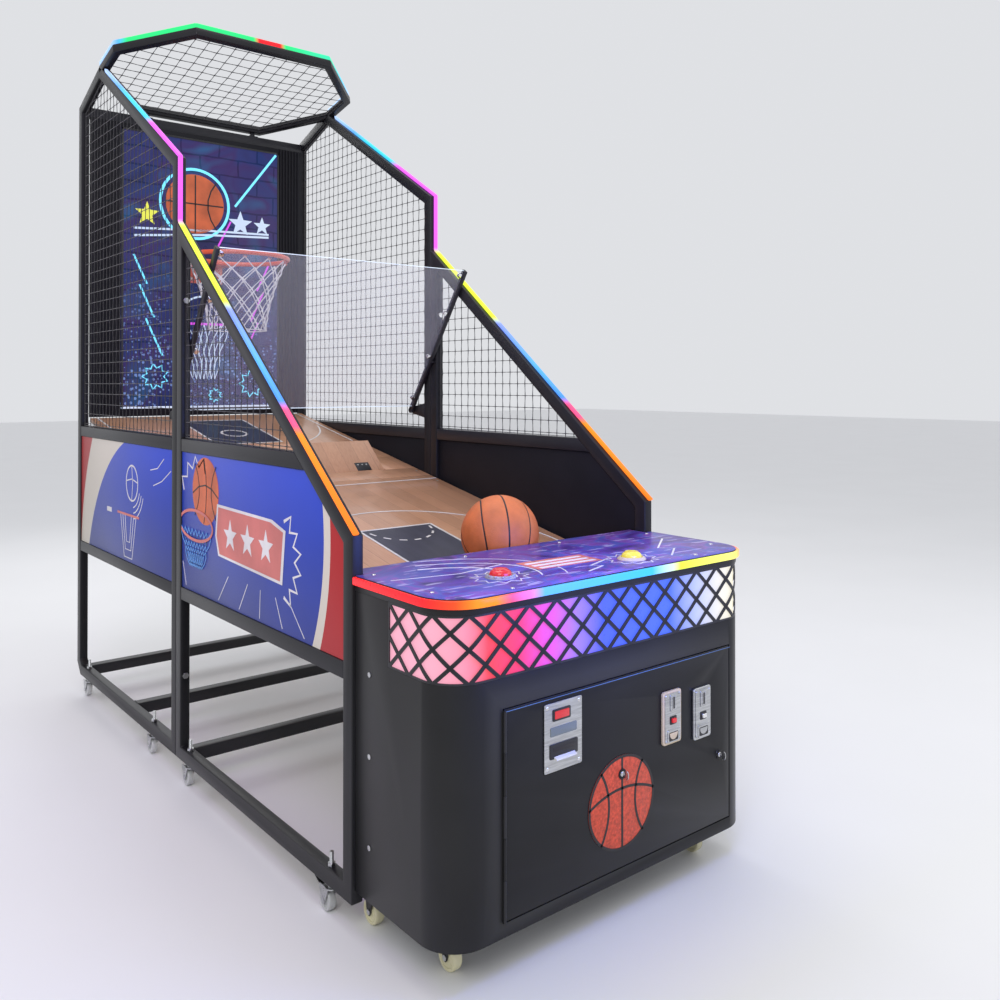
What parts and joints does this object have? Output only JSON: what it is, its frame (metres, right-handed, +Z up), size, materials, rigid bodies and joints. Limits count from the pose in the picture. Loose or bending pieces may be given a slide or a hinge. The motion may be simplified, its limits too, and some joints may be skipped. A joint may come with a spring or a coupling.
{
  "type": "basketball hoop machine",
  "caption": "Free-standing coin-operated basketball hoop machine with a sloping ball ramp, netted frame, lit rails and canopy, and a front coin cabinet on casters.",
  "frame": {"origin": "on the floor, under the middle of the machine's footprint", "axes": "+Z up, the player stands at -Y and throws towards +Y, +X to the player's right"},
  "size_m": [1, 2.573, 2.5593],
  "materials": {
    "frame_paint": "satin black powder coat",
    "net_black": "black knotted netting",
    "panel_print": "board with a printed skin",
    "wall_black": "black ribbed board",
    "poster_print": "printed sheet under gloss",
    "rim_orange": "orange-red enamel",
    "net_white": "white cord net",
    "ramp_wood": "lacquered court floor",
    "gate_wood": "lacquered wood",
    "cabinet_black": "satin black",
    "lattice_black": "satin black",
    "diffuser": "lit opal acrylic",
    "hinge_black": "black steel",
    "plate_silver": "brushed",
    "coin_silver": "cast and plated",
    "lock_chrome": "plated",
    "deck_print": "printed board under clear sheet",
    "light_tube": "lit diffusing tube",
    "bezel_clear": "clear moulded plastic",
    "button_red": "moulded",
    "button_yellow": "moulded",
    "clear_pane": "clear acrylic",
    "zinc": "zinc plated",
    "ball_rubber": "pebbled",
    "inlet_black": "moulded",
    "fork_black": "black pressed steel",
    "wheel_grey": "moulded nylon",
    "wheel_cream": "moulded nylon"
  },
  "bodies": {
    "machine": {"rear_frame": "frame_paint", "front_frame": "frame_paint", "canopy_ring": "frame_paint", "safety_nets": "net_black", "side_panels": "panel_print", "back_wall": "wall_black", "poster_panel": "poster_print", "hoop_rim": "rim_orange", "hoop_net": "net_white", "ramp": "ramp_wood", "cabinet_shell": "cabinet_black", "lattice_grille": "lattice_black", "lattice_diffuser": "diffuser", "door_hinge": "hinge_black", "deck": "deck_print", "light_strips": "light_tube", "button_bezels": "bezel_clear", "fasteners": "zinc", "electronics_tray": "zinc", "coin_box": "zinc", "power_inlet": "inlet_black"},
    "door": {"front_door": "cabinet_black", "ticket_dispenser": "plate_silver", "coin_acceptors": "coin_silver"},
    "shield": {"shield_pane": "clear_pane", "shield_arms": "frame_paint"},
    "gate": {"ball_gate": "gate_wood"},
    "ball": {"basketball": "ball_rubber"},
    "coin_button_left": {"coin_button_left": "coin_silver"},
    "coin_button_right": {"coin_button_right": "coin_silver"},
    "door_lock": {"door_lock": "lock_chrome"},
    "coin_lock": {"coin_lock": "lock_chrome"},
    "button_red": {"button_red": "button_red"},
    "button_yellow": {"button_yellow": "button_yellow"},
    "brake_pedal_front_left": {"brake_pedal_front_left": "fork_black"},
    "brake_pedal_front_right": {"brake_pedal_front_right": "fork_black"},
    "fork_rear_left": {"fork_rear_left": "fork_black"},
    "wheel_rear_left": {"wheel_rear_left": "wheel_grey"},
    "fork_rear_right": {"fork_rear_right": "fork_black"},
    "wheel_rear_right": {"wheel_rear_right": "wheel_grey"},
    "fork_middle_rear_left": {"fork_middle_rear_left": "fork_black"},
    "wheel_middle_rear_left": {"wheel_middle_rear_left": "wheel_grey"},
    "fork_middle_rear_right": {"fork_middle_rear_right": "fork_black"},
    "wheel_middle_rear_right": {"wheel_middle_rear_right": "wheel_grey"},
    "fork_middle_front_left": {"fork_middle_front_left": "fork_black"},
    "wheel_middle_front_left": {"wheel_middle_front_left": "wheel_grey"},
    "fork_middle_front_right": {"fork_middle_front_right": "fork_black"},
    "wheel_middle_front_right": {"wheel_middle_front_right": "wheel_grey"},
    "fork_front_left": {"fork_front_left": "fork_black"},
    "wheel_front_left": {"wheel_front_left": "wheel_grey"},
    "fork_front_right": {"fork_front_right": "fork_black"},
    "wheel_front_right": {"wheel_front_right": "wheel_grey"},
    "fork_cabinet_front_left": {"fork_cabinet_front_left": "fork_black"},
    "wheel_cabinet_front_left": {"wheel_cabinet_front_left": "wheel_cream"},
    "fork_cabinet_front_right": {"fork_cabinet_front_right": "fork_black"},
    "wheel_cabinet_front_right": {"wheel_cabinet_front_right": "wheel_cream"},
    "fork_cabinet_rear_left": {"fork_cabinet_rear_left": "fork_black"},
    "wheel_cabinet_rear_left": {"wheel_cabinet_rear_left": "wheel_cream"},
    "fork_cabinet_rear_right": {"fork_cabinet_rear_right": "fork_black"},
    "wheel_cabinet_rear_right": {"wheel_cabinet_rear_right": "wheel_cream"}
  },
  "joints": [
    {"name": "door_swing", "type": "hinge", "parent": "machine", "child": "door", "pos_m": [-0.345, -1.2685, 0.132], "axis": [0, 0, -1], "range_deg": [0, 110]},
    {"name": "shield_tilt", "type": "hinge", "parent": "machine", "child": "shield", "pos_m": [0, 0.2985, 1.137], "axis": [-1, 0, 0], "range_deg": [0, 50]},
    {"name": "gate_drop", "type": "hinge", "parent": "machine", "child": "gate", "pos_m": [0, 0.2885, 0.90738], "axis": [-1, 0, 0], "range_deg": [0, 30]},
    {"name": "ball_lift", "type": "slide", "parent": "machine", "child": "ball", "axis": [0, 0, 1], "range_m": [0, 0.4]},
    {"name": "press_red", "type": "slide", "parent": "machine", "child": "button_red", "axis": [0, 0, -1], "range_m": [0, 0.004], "stiffness_N_per_m": 400, "springref_m": -0.005},
    {"name": "press_yellow", "type": "slide", "parent": "machine", "child": "button_yellow", "axis": [0, 0, -1], "range_m": [0, 0.004], "stiffness_N_per_m": 400, "springref_m": -0.005},
    {"name": "press_coin_left", "type": "slide", "parent": "door", "child": "coin_button_left", "axis": [0, 1, 0], "range_m": [0, 0.003], "stiffness_N_per_m": 300, "springref_m": -0.003},
    {"name": "press_coin_right", "type": "slide", "parent": "door", "child": "coin_button_right", "axis": [0, 1, 0], "range_m": [0, 0.003], "stiffness_N_per_m": 300, "springref_m": -0.003},
    {"name": "turn_door_lock", "type": "hinge", "parent": "door", "child": "door_lock", "pos_m": [0.36, -1.2645, 0.3], "axis": [0, -1, 0], "range_deg": [0, 90]},
    {"name": "turn_coin_lock", "type": "hinge", "parent": "door", "child": "coin_lock", "pos_m": [0.005, -1.2645, 0.345], "axis": [0, -1, 0], "range_deg": [0, 90]},
    {"name": "swivel_rear_left", "type": "hinge", "parent": "machine", "child": "fork_rear_left", "pos_m": [-0.485, 1.1665, 0.07], "axis": [0, 0, 1], "continuous": true},
    {"name": "roll_rear_left", "type": "hinge", "parent": "fork_rear_left", "child": "wheel_rear_left", "pos_m": [-0.485, 1.1845, 0.025], "axis": [1, 0, 0], "continuous": true},
    {"name": "swivel_rear_right", "type": "hinge", "parent": "machine", "child": "fork_rear_right", "pos_m": [0.485, 1.1665, 0.07], "axis": [0, 0, 1], "continuous": true},
    {"name": "roll_rear_right", "type": "hinge", "parent": "fork_rear_right", "child": "wheel_rear_right", "pos_m": [0.485, 1.1845, 0.025], "axis": [1, 0, 0], "continuous": true},
    {"name": "swivel_middle_rear_left", "type": "hinge", "parent": "machine", "child": "fork_middle_rear_left", "pos_m": [-0.485, 0.4155, 0.07], "axis": [0, 0, 1], "continuous": true},
    {"name": "roll_middle_rear_left", "type": "hinge", "parent": "fork_middle_rear_left", "child": "wheel_middle_rear_left", "pos_m": [-0.485, 0.4335, 0.025], "axis": [1, 0, 0], "continuous": true},
    {"name": "swivel_middle_rear_right", "type": "hinge", "parent": "machine", "child": "fork_middle_rear_right", "pos_m": [0.485, 0.4155, 0.07], "axis": [0, 0, 1], "continuous": true},
    {"name": "roll_middle_rear_right", "type": "hinge", "parent": "fork_middle_rear_right", "child": "wheel_middle_rear_right", "pos_m": [0.485, 0.4335, 0.025], "axis": [1, 0, 0], "continuous": true},
    {"name": "swivel_middle_front_left", "type": "hinge", "parent": "machine", "child": "fork_middle_front_left", "pos_m": [-0.485, 0.0905, 0.07], "axis": [0, 0, 1], "continuous": true},
    {"name": "roll_middle_front_left", "type": "hinge", "parent": "fork_middle_front_left", "child": "wheel_middle_front_left", "pos_m": [-0.485, 0.1085, 0.025], "axis": [1, 0, 0], "continuous": true},
    {"name": "swivel_middle_front_right", "type": "hinge", "parent": "machine", "child": "fork_middle_front_right", "pos_m": [0.485, 0.0905, 0.07], "axis": [0, 0, 1], "continuous": true},
    {"name": "roll_middle_front_right", "type": "hinge", "parent": "fork_middle_front_right", "child": "wheel_middle_front_right", "pos_m": [0.485, 0.1085, 0.025], "axis": [1, 0, 0], "continuous": true},
    {"name": "swivel_front_left", "type": "hinge", "parent": "machine", "child": "fork_front_left", "pos_m": [-0.485, -0.7975, 0.07], "axis": [0, 0, 1], "continuous": true},
    {"name": "roll_front_left", "type": "hinge", "parent": "fork_front_left", "child": "wheel_front_left", "pos_m": [-0.485, -0.7795, 0.025], "axis": [1, 0, 0], "continuous": true},
    {"name": "swivel_front_right", "type": "hinge", "parent": "machine", "child": "fork_front_right", "pos_m": [0.485, -0.7975, 0.07], "axis": [0, 0, 1], "continuous": true},
    {"name": "roll_front_right", "type": "hinge", "parent": "fork_front_right", "child": "wheel_front_right", "pos_m": [0.485, -0.7795, 0.025], "axis": [1, 0, 0], "continuous": true},
    {"name": "swivel_cabinet_front_left", "type": "hinge", "parent": "machine", "child": "fork_cabinet_front_left", "pos_m": [-0.395, -1.1645, 0.1], "axis": [0, 0, 1], "continuous": true},
    {"name": "roll_cabinet_front_left", "type": "hinge", "parent": "fork_cabinet_front_left", "child": "wheel_cabinet_front_left", "pos_m": [-0.395, -1.1465, 0.03], "axis": [1, 0, 0], "continuous": true},
    {"name": "swivel_cabinet_front_right", "type": "hinge", "parent": "machine", "child": "fork_cabinet_front_right", "pos_m": [0.395, -1.1645, 0.1], "axis": [0, 0, 1], "continuous": true},
    {"name": "roll_cabinet_front_right", "type": "hinge", "parent": "fork_cabinet_front_right", "child": "wheel_cabinet_front_right", "pos_m": [0.395, -1.1465, 0.03], "axis": [1, 0, 0], "continuous": true},
    {"name": "swivel_cabinet_rear_left", "type": "hinge", "parent": "machine", "child": "fork_cabinet_rear_left", "pos_m": [-0.43, -0.9145, 0.1], "axis": [0, 0, 1], "continuous": true},
    {"name": "roll_cabinet_rear_left", "type": "hinge", "parent": "fork_cabinet_rear_left", "child": "wheel_cabinet_rear_left", "pos_m": [-0.43, -0.8965, 0.03], "axis": [1, 0, 0], "continuous": true},
    {"name": "swivel_cabinet_rear_right", "type": "hinge", "parent": "machine", "child": "fork_cabinet_rear_right", "pos_m": [0.43, -0.9145, 0.1], "axis": [0, 0, 1], "continuous": true},
    {"name": "roll_cabinet_rear_right", "type": "hinge", "parent": "fork_cabinet_rear_right", "child": "wheel_cabinet_rear_right", "pos_m": [0.43, -0.8965, 0.03], "axis": [1, 0, 0], "continuous": true},
    {"name": "brake_front_left", "type": "hinge", "parent": "fork_front_left", "child": "brake_pedal_front_left", "pos_m": [-0.485, -0.7665, 0.054], "axis": [-1, 0, 0], "range_deg": [0, 20]},
    {"name": "brake_front_right", "type": "hinge", "parent": "fork_front_right", "child": "brake_pedal_front_right", "pos_m": [0.485, -0.7665, 0.054], "axis": [-1, 0, 0], "range_deg": [0, 20]}
  ]
}
